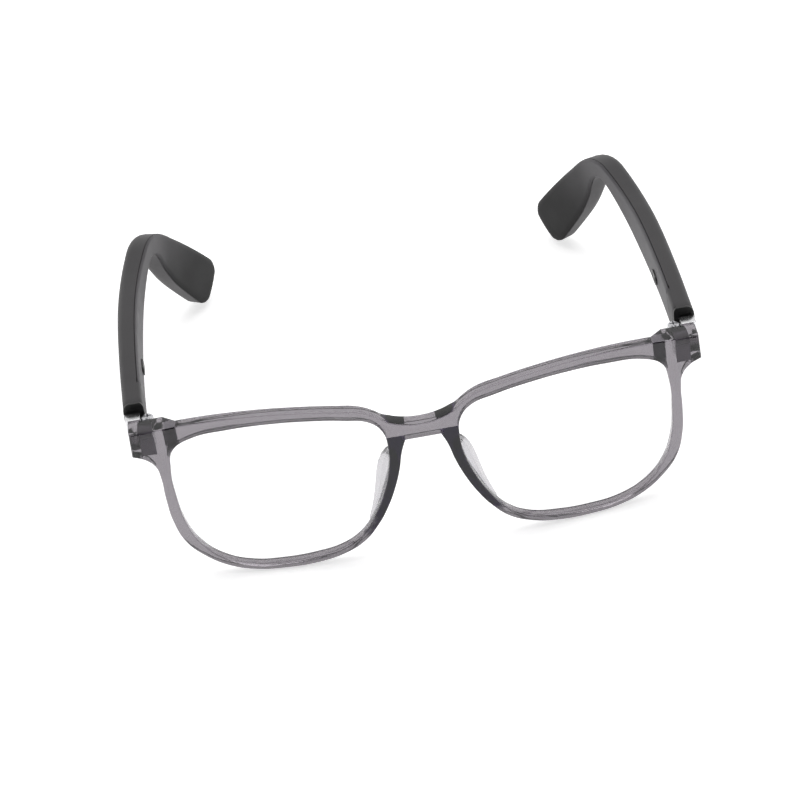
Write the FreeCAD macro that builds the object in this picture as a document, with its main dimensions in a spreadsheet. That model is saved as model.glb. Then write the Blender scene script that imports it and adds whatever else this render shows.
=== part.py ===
import FreeCAD, Part
import math
import os
from FreeCAD import Vector, Placement, Rotation

# Smart glasses with an open hook temple on each side. Units are millimetres.
# The row frame stands the glasses on a table: X across the front, with the
# wearer's left at +X, Y backwards along the temples, Z up from the table.
# The plan below works from the front face of the bridge, at y = 0, and each
# sub-part's Placement then moves it forwards by half of the overall depth.

doc = FreeCAD.newDocument("smart_glasses")
sheet = doc.addObject("Spreadsheet::Sheet", "dims")

driving = {
    "front_shift": (-72.16, "moves the bridge's front face ahead of the origin"),
    "front_radius": (328.0, "face wrap radius of the front in plan"),
    "rim_depth": (3.2, "front to back thickness of the rims"),
    "bridge_depth": (4.1, "thickness of the bridge"),
    "end_depth": (6.0, "thickness of the end pieces that hold the hinges"),
    "half_width": (72.6, "half of the front's width"),
    "front_height": (48.4, "height of the front"),
    "groove_depth": (0.6, "depth of the lens groove in the rims"),
    "lens_gap": (0.08, "clearance round each lens in its groove"),
    "lens_depth": (1.6, "lens thickness"),
    "lens_set_back": (0.8, "lens front behind the rim's front"),
    "pivot_x": (67.2, "hinge pin from the centre plane"),
    "pivot_y": (15.4, "hinge pin behind the bridge's front face"),
    "knuckle_radius": (1.6, "outer radius of the hinge knuckles"),
    "knuckle_pitch": (1.04, "height of one knuckle and its gap"),
    "knuckle_gap": (0.05, "play between knuckles"),
    "knuckle_base": (38.2, "height of the lowest knuckle"),
    "leaf_top": (45.6, "height of the temple leaf's shoulder"),
    "screw_radius": (0.7, "hinge screw shank radius"),
    "bore_radius": (0.75, "hinge knuckle bore radius"),
    "screw_head_radius": (1.5, "hinge screw head radius"),
    "screw_head_height": (0.9, "hinge screw head height"),
    "temple_start": (17.6, "front end of the temple"),
    "temple_middle": (42.5, "height of the temple's centre line at its front"),
    "temple_drop": (4.14, "downward pitch of the straight temple, degrees"),
    "temple_straight": (83.0, "straight length of the temple"),
    "bend_radius": (24.0, "centre line radius of the ear bend"),
    "bend_turn": (44.0, "turn of the ear bend, degrees"),
    "hook_length": (34.0, "length of the hook behind the bend"),
    "temple_wall": (1.1, "wall of the temple shell"),
    "cover_depth": (0.8, "thickness of the inner cover"),
    "seam_gap": (0.05, "seam between shell and cover"),
    "cap_length": (2.0, "front end cap of the temple"),
    "port_length": (5.8, "charging port length"),
    "port_height": (3.0, "charging port height"),
    "contact_radius": (0.7, "charging contact radius"),
}

for row, (alias, (value, meaning)) in enumerate(driving.items(), start=1):
    sheet.set(f"A{row}", alias)
    sheet.set(f"B{row}", str(value))
    sheet.set(f"C{row}", meaning)
    sheet.setAlias(f"B{row}", alias)
doc.recompute()


def dim(alias):
    return float(getattr(sheet, alias))


nodes = {}        # node name -> the document object that is exported


def place(sub_part, x=0.0, y=0.0, z=0.0, rotation=Rotation()):
    """Put a sub-part at a plan position, moved with the whole object."""
    sub_part.Placement = Placement(Vector(x, y, z), rotation)
    sub_part.setExpression("Placement.Base.y", f"{y} mm + dims.front_shift * 1 mm")


def keep(sub_part, label):
    """Name a finished sub-part as a node."""
    sub_part.Label = label
    nodes[label] = sub_part
    return sub_part


def shape_part(label, shape):
    """A sub-part whose solid is made in code from the sheet's sizes."""
    sub_part = doc.addObject("Part::Feature", label)
    sub_part.Shape = shape
    place(sub_part)
    return keep(sub_part, label)


def mirror_part(source, label):
    """The wearer's right copy of a part on the wearer's left."""
    copy = doc.addObject("Part::Mirroring", label)
    copy.Source = source
    copy.Base = Vector(0, 0, 0)
    copy.Normal = Vector(1, 0, 0)
    return keep(copy, label)


# ---------------------------------------------------------------- outlines

def curve_through(points):
    curve = Part.BSplineCurve()
    curve.interpolate([Vector(x, 0, z) for x, z in points])
    return curve.toShape()


def line_between(first, second):
    return Part.makeLine(Vector(first[0], 0, first[1]), Vector(second[0], 0, second[1]))


def front_outline():
    """Outer outline of the front, seen along Y."""
    side = dim("half_width")
    top = dim("front_height")
    brow = [(0, top - 9.1), (4.5, top - 8.6), (8.2, top - 7.2), (11.2, top - 4.8),
            (14.8, top - 2.9), (21, top - 1.7), (31, top - 0.5), (42, top),
            (54, top - 0.5), (64, top - 1.8), (side - 0.3, top - 3.2)]
    corner_high = brow[-1]
    corner_low = (side, 38.3)
    nose_corner = (4.5, 34.9)
    rim = [corner_low, (69.4, 37.2), (67.3, 35.0), (66.6, 31.5), (66.5, 25), (65.9, 17.5),
           (63.8, 10.8), (60, 6.3), (54, 2.3), (47, 0.35), (40, 0), (32, 0.5), (25, 2.1),
           (19, 5.2), (14.6, 10), (11.4, 15.2), (8.8, 21), (7, 26.5), (5.9, 31.2), nose_corner]
    left = [(-x, z) for x, z in brow[:0:-1]]
    edges = [
        curve_through(left + brow),
        line_between(corner_high, corner_low),
        curve_through(rim),
        line_between(nose_corner, (-nose_corner[0], nose_corner[1])),
        curve_through([(-x, z) for x, z in rim]),
        line_between((-corner_high[0], corner_high[1]), (-corner_low[0], corner_low[1])),
    ]
    return Part.Wire(Part.__sortEdges__(edges))


def lens_opening(grow=0.0):
    """Opening of the wearer's left rim, grown outwards for its groove."""
    points = [(9.1, 33.0), (9.9, 38.5), (12.8, 41.8), (19, 43.5), (28, 44.8), (38, 45.3),
              (48, 44.8), (57, 43.2), (62, 40.0), (63.6, 34.0), (63.7, 25.0), (62.6, 16.5),
              (59.8, 9.7), (54.6, 4.7), (47.6, 2.1), (40, 1.7), (31.5, 2.4), (24, 4.2),
              (18.8, 7.7), (14.8, 13.4), (11.6, 20.4), (9.6, 27.4)]
    if grow:
        points = grown_outline(points, grow)
    loop = Part.BSplineCurve()
    loop.interpolate([Vector(x, 0, z) for x, z in points], PeriodicFlag=True)
    start, end = loop.FirstParameter, loop.LastParameter
    quarter = (end - start) / 4
    edges = []
    for index in range(4):
        piece = loop.copy()
        piece.segment(start + index * quarter, start + (index + 1) * quarter)
        edges.append(piece.toShape())
    return Part.Wire(edges)


def grown_outline(points, grow):
    """The same clockwise outline, moved outwards along its normals."""
    moved = []
    for index, (x, z) in enumerate(points):
        before = points[index - 1]
        after = points[(index + 1) % len(points)]
        run = (after[0] - before[0], after[1] - before[1])
        length = math.hypot(*run)
        moved.append((x - grow * run[1] / length, z + grow * run[0] / length))
    return moved


def front_y(x):
    radius = dim("front_radius")
    return radius - math.sqrt(radius ** 2 - x ** 2)


def prism_along_y(wire, start=-2.0, end=24.0):
    face = Part.Face(wire)
    face.translate(Vector(0, start, 0))
    return face.extrude(Vector(0, end - start, 0))


def curved_slab(start, end, low=-2.0, high=52.0):
    """The space between two depths behind the front's curved face."""
    radius = dim("front_radius")
    centre = Vector(0, radius, low)
    outer = Part.makeCylinder(radius - start, high - low, centre)
    inner = Part.makeCylinder(radius - end, high - low, centre)
    near = Part.makeBox(180, 40, high - low, Vector(-90, -5, low))
    return outer.cut(inner).common(near)


def both_sides(shape):
    return [shape, shape.mirror(Vector(0, 0, 0), Vector(1, 0, 0))]


def plan_prism(points, low, high):
    wire = Part.makePolygon([Vector(x, y, low) for x, y in points + points[:1]])
    return Part.Face(wire).extrude(Vector(0, 0, high - low))


# ------------------------------------------------------------- front frame

hinge_block = {"width": 3.8, "inner": 66.0, "front": 9.0}     # embedded hinge leaf


def hinge_height(rings=6):
    return rings * dim("knuckle_pitch") - dim("knuckle_gap")


def bridge_pad():
    """The thicker middle of the front, narrower towards its back."""
    plan = plan_prism([(-10.5, 0), (10.5, 0), (7.2, 6), (-7.2, 6)], 30, 44)
    return plan.common(curved_slab(0.5, dim("bridge_depth")))


def front_frame():
    outline = prism_along_y(front_outline())
    front = outline.common(curved_slab(0, dim("rim_depth")))
    front = front.fuse(outline.common(bridge_pad()))

    outer = dim("half_width") + 1
    back = dim("end_depth")
    ramp = [(60.2, front_y(60.2) + 1), (60.2, front_y(60.2) + dim("rim_depth") - 0.4),
            (63.4, front_y(63.4) + back), (71.4, front_y(71.4) + back),
            (outer, front_y(71.4) + back - 1.6), (outer, front_y(60.2) + 1)]
    end_plan = plan_prism(ramp, 37.4, 50)
    for block in both_sides(outline.common(end_plan).common(curved_slab(0.5, 12))):
        front = front.fuse(block)

    front = front.removeSplitter()
    opening = prism_along_y(lens_opening())
    lens_back = dim("lens_set_back") + dim("lens_depth")
    groove = prism_along_y(lens_opening(dim("groove_depth")))
    groove = groove.common(curved_slab(dim("lens_set_back") - dim("lens_gap"),
                                       lens_back + dim("lens_gap")))
    pocket = Part.makeBox(hinge_block["width"] + 0.1, 12, hinge_height(5) + 0.1,
                          Vector(hinge_block["inner"] - 0.05, hinge_block["front"] - 0.05,
                                 dim("knuckle_base") - 0.05))
    for hollow in (opening, groove, pocket):
        for side in both_sides(hollow):
            front = front.cut(side)
    return front.removeSplitter()


shape_part("front_frame", front_frame())


# ------------------------------------------------------------------ lenses

def lens():
    edge = dim("groove_depth") - dim("lens_gap")
    blank = prism_along_y(lens_opening(edge))
    start = dim("lens_set_back")
    return blank.common(curved_slab(start, start + dim("lens_depth")))


lens_left = shape_part("lens_left", lens())
mirror_part(lens_left, "lens_right")


# ---------------------------------------------------------------- nose pads

def nose_pad():
    """A crescent wing on the back of the nasal rim, widest at mid height."""
    wing_stations = [(7.9, 31.8, 0.8, 0.9), (8.2, 28.5, 1.8, 3.2), (9.2, 24.5, 2.1, 4.3),
                     (10.5, 20.5, 1.8, 4.4), (12.1, 16.6, 1.3, 3.8), (13.9, 12.8, 0.9, 2.6),
                     (16.2, 9.4, 0.5, 0.9)]
    rings = []
    for x, z, half, reach in wing_stations:
        start = front_y(x) + dim("rim_depth") - 0.3
        poles = [Vector(x - half, start, z), Vector(x - half * 0.2, start + reach * 0.7, z),
                 Vector(x + half * 1.0, start + reach * 1.15, z),
                 Vector(x + half * 1.7, start + reach, z), Vector(x + half * 1.1, start, z)]
        curve = Part.BSplineCurve()
        curve.interpolate(poles)
        base = Part.makeLine(poles[-1], poles[0])
        rings.append(Part.Wire([curve.toShape(), base]))
    wing = Part.makeLoft(rings, True, False)
    play = 0.02
    wing = wing.cut(curved_slab(-1, dim("rim_depth") + play))
    clear = bridge_pad()
    clear.translate(Vector(play, play, 0))
    return wing.cut(clear)


pad_left = shape_part("nose_pad_left", nose_pad())
mirror_part(pad_left, "nose_pad_right")


# ------------------------------------------------------------------- hinge

def knuckle(index):
    """One ring of the six that share the hinge screw, counted from below."""
    base = dim("knuckle_base") + index * dim("knuckle_pitch")
    thickness = dim("knuckle_pitch") - dim("knuckle_gap")
    return Part.makeCylinder(dim("knuckle_radius"), thickness,
                             Vector(dim("pivot_x"), dim("pivot_y"), base))


def hinge_bore():
    return Part.makeCylinder(dim("bore_radius"), hinge_height() + 2,
                             Vector(dim("pivot_x"), dim("pivot_y"), dim("knuckle_base") - 1))


def level_box(index, x_low, x_high, y_low, y_high):
    base = dim("knuckle_base") + index * dim("knuckle_pitch")
    thickness = dim("knuckle_pitch") - dim("knuckle_gap")
    return Part.makeBox(x_high - x_low, y_high - y_low, thickness, Vector(x_low, y_low, base))


def hinge_base():
    """Front leaf: a block sunk in the end piece with three knuckles."""
    strap_back = dim("pivot_y") - dim("knuckle_radius") - 0.45
    block = Part.makeBox(hinge_block["width"], strap_back - hinge_block["front"],
                         hinge_height(5), Vector(hinge_block["inner"], hinge_block["front"],
                                                dim("knuckle_base")))
    for index in (0, 2, 4):
        web = level_box(index, dim("pivot_x") - 1.2, dim("pivot_x") + 1.2,
                        strap_back - 0.4, dim("pivot_y"))
        block = block.fuse([knuckle(index), web])
    return block.cut(hinge_bore()).removeSplitter()


def hinge_leaf():
    """Temple leaf: three knuckles, a shoulder block and a tongue into the temple."""
    inner = dim("pivot_x") + dim("knuckle_radius") + 0.3
    middle = dim("temple_middle") + 1.2
    outer = dim("half_width") + 0.3
    start = dim("pivot_y") - 1.4
    end = dim("temple_start") - 0.5
    base = dim("knuckle_base")
    leaf = Part.makeBox(outer - inner, end - start, dim("leaf_top") - base,
                        Vector(inner, start, base))
    tongue = Part.makeBox(1.5, 7.8, 3.6, Vector(69.75, end - 0.4, middle - 3.2))
    leaf = leaf.fuse(tongue)
    for index in (1, 3):
        web = level_box(index, dim("pivot_x"), inner + 0.4, start + 0.1, dim("pivot_y") + 1.2)
        leaf = leaf.fuse([knuckle(index), web])
    top_plate = level_box(5, dim("pivot_x") - 1.0, inner + 0.4, dim("pivot_y"), end)
    web = level_box(5, dim("pivot_x"), inner + 0.4, start + 0.1, dim("pivot_y") + 0.1)
    leaf = leaf.fuse([knuckle(5), web, top_plate])
    return leaf.cut(hinge_bore()).removeSplitter()


base_left = shape_part("hinge_base_left", hinge_base())
mirror_part(base_left, "hinge_base_right")
leaf_left = shape_part("hinge_leaf_left", hinge_leaf())
mirror_part(leaf_left, "hinge_leaf_right")


def hinge_screw():
    body = doc.addObject("PartDesign::Body", "hinge_screw")
    plane = [f for f in body.Origin.OriginFeatures if f.Role == "XZ_Plane"][0]
    outline = body.newObject("Sketcher::SketchObject", "screw_outline")
    outline.AttachmentSupport = [(plane, "")]
    outline.MapMode = "FlatFace"
    shank = dim("screw_radius")
    head = dim("screw_head_radius")
    length = hinge_height()
    top = dim("screw_head_height")
    corners = [(0, 0), (shank, 0), (shank, length), (head, length),
               (head, length + top * 0.6), (head * 0.7, length + top), (0, length + top)]
    for first, second in zip(corners, corners[1:] + corners[:1]):
        outline.addGeometry(Part.LineSegment(Vector(first[0], first[1], 0),
                                             Vector(second[0], second[1], 0)))
    turned = body.newObject("PartDesign::Revolution", "screw_turned")
    turned.Profile = outline
    turned.ReferenceAxis = (outline, ["V_Axis"])
    turned.Angle = 360
    doc.recompute()
    cross = body.newObject("Sketcher::SketchObject", "cross_slot")
    base_plane = [f for f in body.Origin.OriginFeatures if f.Role == "XY_Plane"][0]
    cross.AttachmentSupport = [(base_plane, "")]
    cross.MapMode = "FlatFace"
    cross.AttachmentOffset = Placement(Vector(0, 0, length + top), Rotation())
    arm = head * 0.62
    half = head * 0.13
    tips = [(half, half), (arm, half), (arm, -half), (half, -half), (half, -arm), (-half, -arm),
            (-half, -half), (-arm, -half), (-arm, half), (-half, half), (-half, arm), (half, arm)]
    for first, second in zip(tips, tips[1:] + tips[:1]):
        cross.addGeometry(Part.LineSegment(Vector(*first, 0), Vector(*second, 0)))
    slot = body.newObject("PartDesign::Pocket", "cross_recess")
    slot.Profile = cross
    slot.Length = top * 0.6
    doc.recompute()
    body.Tip = slot
    return body


screw_left = hinge_screw()
place(screw_left, dim("pivot_x"), dim("pivot_y"), dim("knuckle_base"))
screw_right = doc.addObject("Part::Mirroring", "hinge_screw_copy")
screw_right.Source = screw_left
screw_right.Normal = Vector(1, 0, 0)
screws = doc.addObject("Part::Compound", "hinge_screws")
screws.Links = [screw_left, screw_right]
keep(screws, "hinge_screws")


# ----------------------------------------------------- path of the temples

# Along the temple's path: distance, centre x, thickness, height, and how far the
# centre stands above the path, which keeps the slim ear bend close to its top.
stations = [
    (0, 70.5, 5.2, 10.5, 0.0), (25, 70.9, 5.3, 10.6, 0.0), (50, 70.6, 5.6, 10.4, 0.2),
    (68, 69.4, 5.9, 8.0, 1.3), (83, 67.2, 6.4, 5.3, 3.3), (92, 65.2, 7.0, 5.4, 3.5),
    (101, 63.0, 7.4, 8.9, 2.2), (111, 60.2, 7.5, 11.7, 1.3), (122, 56.6, 7.3, 13.0, 0.6),
    (135.4, 52.0, 6.4, 13.6, -0.3),
]


def station_slope(index, column):
    first = stations[max(index - 1, 0)]
    last = stations[min(index + 1, len(stations) - 1)]
    return (last[column] - first[column]) / (last[0] - first[0])


def between_stations(distance, column):
    """A smooth station value at any distance along the temple."""
    index = 0
    while index < len(stations) - 2 and distance > stations[index + 1][0]:
        index += 1
    first, second = stations[index], stations[index + 1]
    span = second[0] - first[0]
    t = (distance - first[0]) / span
    rise = second[column] - first[column]
    start_slope = station_slope(index, column) * span
    end_slope = station_slope(index + 1, column) * span
    bow = start_slope - rise + (rise * 2 - start_slope - end_slope) * t
    return first[column] + rise * t + bow * t * (1 - t)


def centre_line(distance):
    """Centre of the temple above its path: a straight run, the ear bend, the hook."""
    angle = math.radians(dim("temple_drop"))
    straight = min(distance, dim("temple_straight"))
    y = dim("temple_start") + straight * math.cos(angle)
    z = dim("temple_middle") - straight * math.sin(angle)
    radius = dim("bend_radius")
    turned = max(0.0, distance - dim("temple_straight")) / radius
    turned = min(turned, math.radians(dim("bend_turn")))
    y += radius * (math.sin(angle + turned) - math.sin(angle))
    z -= radius * (math.cos(angle) - math.cos(angle + turned))
    beyond = distance - straight - radius * turned
    y += beyond * math.cos(angle + turned)
    z -= beyond * math.sin(angle + turned)
    lift = between_stations(distance, 4)
    y += lift * math.sin(angle + turned)
    z += lift * math.cos(angle + turned)
    return Vector(between_stations(distance, 1), y, z)


def temple_axes(distance):
    """Centre, outward, upward and rearward directions at a distance."""
    step = 2.0
    along = centre_line(distance + step) - centre_line(distance - step)
    along.normalize()
    outward = along.cross(Vector(0, 0, 1))
    outward.normalize()
    upward = outward.cross(along)
    return centre_line(distance), outward, upward, along


def section_point(distance, outward_by, upward_by):
    centre, outward, upward, _ = temple_axes(distance)
    return centre + outward * outward_by + upward * upward_by


def corner(distance, first, tip, last):
    """A rounded corner between two sides, pulled towards the tip."""
    pull = 0.55
    poles = [first,
             (first[0] + pull * (tip[0] - first[0]), first[1] + pull * (tip[1] - first[1])),
             (last[0] + pull * (tip[0] - last[0]), last[1] + pull * (tip[1] - last[1])),
             last]
    curve = Part.BezierCurve()
    curve.setPoles([section_point(distance, *pole) for pole in poles])
    return curve.toShape()


def crowned_side(distance, first, last, crown):
    middle = ((first[0] + last[0]) / 2 + crown, (first[1] + last[1]) / 2)
    curve = Part.BezierCurve()
    curve.setPoles([section_point(distance, *pole) for pole in (first, middle, last)])
    return curve.toShape()


def temple_section(distance):
    """Outer section: rounder on the outside, crowned towards the head."""
    half = between_stations(distance, 2) / 2
    tall = between_stations(distance, 3) / 2
    inside = 0.42 * half
    outside = 0.75 * half
    drop = 0.30 * tall
    edges = [
        crowned_side(distance, (-half, -tall + drop), (-half, tall - drop), -0.04 * tall),
        corner(distance, (-half, tall - drop), (-half, tall), (-half + inside, tall)),
        Part.makeLine(section_point(distance, -half + inside, tall),
                      section_point(distance, half - outside, tall)),
        corner(distance, (half - outside, tall), (half, tall), (half, tall - outside)),
        crowned_side(distance, (half, tall - outside), (half, -tall + outside), 0.05 * tall),
        corner(distance, (half, -tall + outside), (half, -tall), (half - outside, -tall)),
        Part.makeLine(section_point(distance, half - outside, -tall),
                      section_point(distance, -half + inside, -tall)),
        corner(distance, (-half + inside, -tall), (-half, -tall), (-half, -tall + drop)),
    ]
    return Part.Wire(edges)


def box_section(distance, low, high, bottom, top):
    corners = [(low, bottom), (high, bottom), (high, top), (low, top), (low, bottom)]
    return Part.makePolygon([section_point(distance, *point) for point in corners])


def loft_between(start, end, section, ruled=True, spacing=5.0):
    """Loft a section function between two distances along the temple."""
    count = math.ceil((end - start) / spacing)
    places = [start + (end - start) * index / count for index in range(count + 1)]
    return Part.makeLoft([section(distance) for distance in places], True, ruled)


def seam_section(offset):
    """Everything on the head's side of the seam, wider than the temple."""
    def section(distance):
        half = between_stations(distance, 2) / 2
        tall = between_stations(distance, 3) / 2 + 3
        seam = -half + dim("cover_depth") - offset
        return box_section(distance, -half - 3, seam, -tall, tall)
    return section


def cavity_section(distance):
    half = between_stations(distance, 2) / 2
    tall = between_stations(distance, 3) / 2 - dim("temple_wall") - 0.3
    seam = -half + dim("cover_depth")
    return box_section(distance, seam - dim("seam_gap") / 2, half - dim("temple_wall"),
                       -tall, tall)


def step_plan(offset):
    """The slanted front end of the inner cover, seen from the side."""
    points = [(10, 60), (30 + offset, 60), (29 + offset, 48), (21 + offset, 34), (10, 34)]
    wire = Part.makePolygon([Vector(50, y, z) for y, z in points + points[:1]])
    return Part.Face(wire).extrude(Vector(40, 0, 0))


shell_start = 0.85                      # behind the end cap's face
tip_end = stations[-1][0]
cavity_end = 127.0


def along_box(start, end, low, high, bottom, top):
    """A box in the temple's own directions, level with its middle."""
    middle = (start + end) / 2
    centre, outward, upward, along = temple_axes(middle)
    size = end - start
    shape = Part.makeBox(high - low, size, top - bottom, Vector(low, -size / 2, bottom))
    turn = FreeCAD.Matrix(outward.x, along.x, upward.x, centre.x,
                          outward.y, along.y, upward.y, centre.y,
                          outward.z, along.z, upward.z, centre.z,
                          0, 0, 0, 1)
    return shape.transformGeometry(turn)


def oval_prism(distance, length, height, low, high, upward_by):
    """A stadium seen from the head, running through the cover."""
    centre, outward, upward, along = temple_axes(distance)
    middle = centre + upward * upward_by
    half = (length - height) / 2
    radius = height / 2
    shape = Part.makeCylinder(radius, high - low, middle + outward * low + along * half, outward)
    other = Part.makeCylinder(radius, high - low, middle + outward * low - along * half, outward)
    edge = [middle + outward * low + along * a + upward * b
            for a, b in ((half, radius), (-half, radius), (-half, -radius), (half, -radius))]
    block = Part.Face(Part.makePolygon(edge + edge[:1])).extrude(outward * (high - low))
    return shape.fuse([other, block]).removeSplitter()


def tip_rounding(radius):
    """Everything in front of the hook's rounded end."""
    centre, outward, upward, along = temple_axes(tip_end)
    tall = between_stations(tip_end, 3) / 2 + 0.2
    start = centre - outward * 60

    def spot(along_by, upward_by):
        return start + along * along_by + upward * upward_by

    half_turn = math.cos(math.radians(45))
    high_arc = Part.Arc(spot(-radius, tall), spot(-radius * (1 - half_turn),
                        tall - radius * (1 - half_turn)), spot(0, tall - radius))
    low_arc = Part.Arc(spot(0, radius - tall), spot(-radius * (1 - half_turn),
                       radius * (1 - half_turn) - tall), spot(-radius, -tall))
    edges = [high_arc.toShape(), Part.makeLine(spot(0, tall - radius), spot(0, radius - tall)),
             low_arc.toShape(), Part.makeLine(spot(-radius, -tall), spot(-radius, -tall - 90)),
             Part.makeLine(spot(-radius, -tall - 90), spot(-210, -tall - 90)),
             Part.makeLine(spot(-210, -tall - 90), spot(-210, tall + 130)),
             Part.makeLine(spot(-210, tall + 130), spot(-radius, tall + 130)),
             Part.makeLine(spot(-radius, tall + 130), spot(-radius, tall))]
    return Part.Face(Part.Wire(edges)).extrude(outward * 120)


# ------------------------------------------------------------ temple shells

blank = loft_between(shell_start, tip_end, temple_section, ruled=False, spacing=7.5)
blank = blank.common(tip_rounding(6.0))
seam_slab = loft_between(-1.0, tip_end + 2, seam_section(0.0))
cover_slab = loft_between(-1.0, tip_end + 2, seam_section(dim("seam_gap")))
cavity = loft_between(shell_start - 0.5, cavity_end, cavity_section)

port_place = 29.0                        # along the temple
port_rise = -1.0                         # below the temple's middle
port_face = -between_stations(port_place, 2) / 2 - 0.55
port_depth = 2.1
speaker_place = 59.0
mic_place = 13.0


def outlet_slot(length, width, low, high):
    """A slot through the temple's lower wall under the speaker."""
    tall = between_stations(speaker_place, 3) / 2
    start = speaker_place - length / 2
    return along_box(start, start + length, -width / 2, width / 2, -tall + low, -tall + high)


def mic_hole(radius, low, high):
    centre, _, upward, _ = temple_axes(mic_place)
    tall = between_stations(mic_place, 3) / 2
    return Part.makeCylinder(radius, high - low, centre + upward * (-tall + low), upward)


def temple_shell():
    shell = blank.cut(seam_slab.cut(step_plan(0.0)))
    shell = shell.cut(cavity)
    shell = shell.cut(outlet_slot(6.4, 1.7, -1, 2))
    shell = shell.cut(mic_hole(0.45, -1, 2))
    return shell.removeSplitter()


def temple_cover():
    cover = blank.common(cover_slab).cut(step_plan(dim("seam_gap")))
    hole = oval_prism(port_place, dim("port_length") + 0.1, dim("port_height") + 0.1,
                      port_face - 1, port_face + 3, port_rise)
    return cover.cut(hole).removeSplitter()


def end_cap():
    """Black end of the temple: a face plate and a plug round the tongue."""
    face = loft_between(0.0, shell_start - 0.05, temple_section)
    tall = between_stations(0, 3) / 2 - dim("temple_wall") - 0.5
    half = between_stations(0, 2) / 2
    plug = along_box(0.3, dim("cap_length") + 1, -half + dim("cover_depth") + 0.1,
                     half - dim("temple_wall") - 0.1, -tall, tall)
    slot = Part.makeBox(1.6, 12, 3.7, Vector(69.7, 15, dim("temple_middle") - 2.05))
    return face.fuse(plug).cut(slot).removeSplitter()


def charge_port():
    block = oval_prism(port_place, dim("port_length"), dim("port_height"),
                       port_face, port_face + port_depth, port_rise)
    for side in (-1, 1):
        block = block.cut(contact(side, dim("contact_radius") + 0.02, -0.5, port_depth + 0.5))
    return block


def contact(side, radius, low, high):
    spot = port_place + side * 0.24 * dim("port_length")
    centre, outward, upward, _ = temple_axes(spot)
    return Part.makeCylinder(radius, high - low,
                             centre + outward * (port_face + low) + upward * port_rise, outward)


def charge_contacts():
    return Part.makeCompound([contact(side, dim("contact_radius"), 0.6, port_depth)
                              for side in (-1, 1)])


# ------------------------------------------------------ electronics inside

def circuit_board():
    board = along_box(22, 50, 0.55, 1.05, -3.4, 3.4)
    for start, end, tall in ((29, 34, 2.2), (35.5, 40.5, 2.6), (42, 45, 1.6), (46.5, 49, 1.4)):
        chip = along_box(start, end, -0.35, 0.8, -tall, tall)
        board = board.fuse(chip)
    return board.removeSplitter()


def battery():
    cell = along_box(109, 126, -1.6, 1.6, -4.0, 4.0)
    long_edges = [edge for edge in cell.Edges if edge.Length > 16]
    return cell.makeFillet(1.2, long_edges)


def speaker():
    length = 8.6
    start = speaker_place - length / 2
    case = along_box(start, start + length, -1.35, 1.15, -2.9, 2.9)
    nozzle = along_box(speaker_place - 2.6, speaker_place + 2.6, -0.6, 0.6, -3.6, -2.8)
    return case.fuse(nozzle).removeSplitter()


def speaker_mesh():
    plate = outlet_slot(6.3, 1.6, 0.15, 0.55)
    for index in range(-3, 4):
        centre, _, upward, along = temple_axes(speaker_place + index * 0.8)
        tall = between_stations(speaker_place, 3) / 2
        hole = Part.makeCylinder(0.22, 3, centre - upward * (tall + 1), upward)
        plate = plate.cut(hole)
    return plate


def flex_cable():
    def section(distance):
        half = between_stations(distance, 2) / 2 - dim("temple_wall")
        return box_section(distance, half - 0.45, half - 0.25, -1.0, 1.0)
    return loft_between(50.6, 106.0, section)


builders = {
    "temple_shell": temple_shell,
    "temple_cover": temple_cover,
    "end_cap": end_cap,
    "charge_port": charge_port,
    "charge_contacts": charge_contacts,
    "circuit_board": circuit_board,
    "touch_sensor": lambda: along_box(24, 49, 1.2, 1.35, -3.0, 3.0),
    "battery": battery,
    "speaker": speaker,
    "speaker_mesh": speaker_mesh,
    "microphone": lambda: mic_hole(1.0, 1.55, 2.5),
    "flex_cable": flex_cable,
}

for name, build in builders.items():
    left = shape_part(f"{name}_left", build())
    mirror_part(left, f"{name}_right")

# ------------------------------------------------------------ checks, files

doc.recompute()
for item in doc.Objects:
    if "Invalid" in item.State or "Error" in item.State:
        raise RuntimeError(f"{item.Label} failed to build: {item.State}")

os.makedirs("parts", exist_ok=True)
for label, node in nodes.items():
    solid = node.Shape
    if solid.isNull() or not solid.isValid():
        raise RuntimeError(f"{label} has no valid shape")
    box = solid.BoundBox
    print(f"{label}: {len(solid.Solids)} solid, {solid.Volume:.1f} mm3, "
          f"x {box.XMin:.1f} {box.XMax:.1f}, y {box.YMin:.1f} {box.YMax:.1f}, "
          f"z {box.ZMin:.1f} {box.ZMax:.1f}")
    solid.exportStep(os.path.join("parts", f"{label}.step"))
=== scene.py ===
import math

import bpy
from mathutils import Matrix, Vector


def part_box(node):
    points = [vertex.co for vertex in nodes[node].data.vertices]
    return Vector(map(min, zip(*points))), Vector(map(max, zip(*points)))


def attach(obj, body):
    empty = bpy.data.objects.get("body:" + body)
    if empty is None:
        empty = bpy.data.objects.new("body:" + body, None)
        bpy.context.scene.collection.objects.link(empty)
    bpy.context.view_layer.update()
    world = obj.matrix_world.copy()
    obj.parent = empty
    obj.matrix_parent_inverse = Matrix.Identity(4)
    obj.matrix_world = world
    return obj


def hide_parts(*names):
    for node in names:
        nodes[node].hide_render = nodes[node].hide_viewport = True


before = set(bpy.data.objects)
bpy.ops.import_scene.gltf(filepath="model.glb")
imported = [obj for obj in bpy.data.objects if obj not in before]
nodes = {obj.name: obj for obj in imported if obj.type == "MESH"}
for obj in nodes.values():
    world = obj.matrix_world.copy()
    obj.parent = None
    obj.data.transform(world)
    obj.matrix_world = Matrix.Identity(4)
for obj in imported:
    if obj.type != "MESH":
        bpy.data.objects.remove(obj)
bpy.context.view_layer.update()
mm = 0.001
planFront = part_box("front_frame")[0][1] / mm      # front face of the bridge, in mm along Y


# small helpers for working in object and edit mode

def clearSelection():
    if bpy.context.object and bpy.context.object.mode != "OBJECT":
        bpy.ops.object.mode_set(mode="OBJECT")
    bpy.ops.object.select_all(action="DESELECT")


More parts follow.
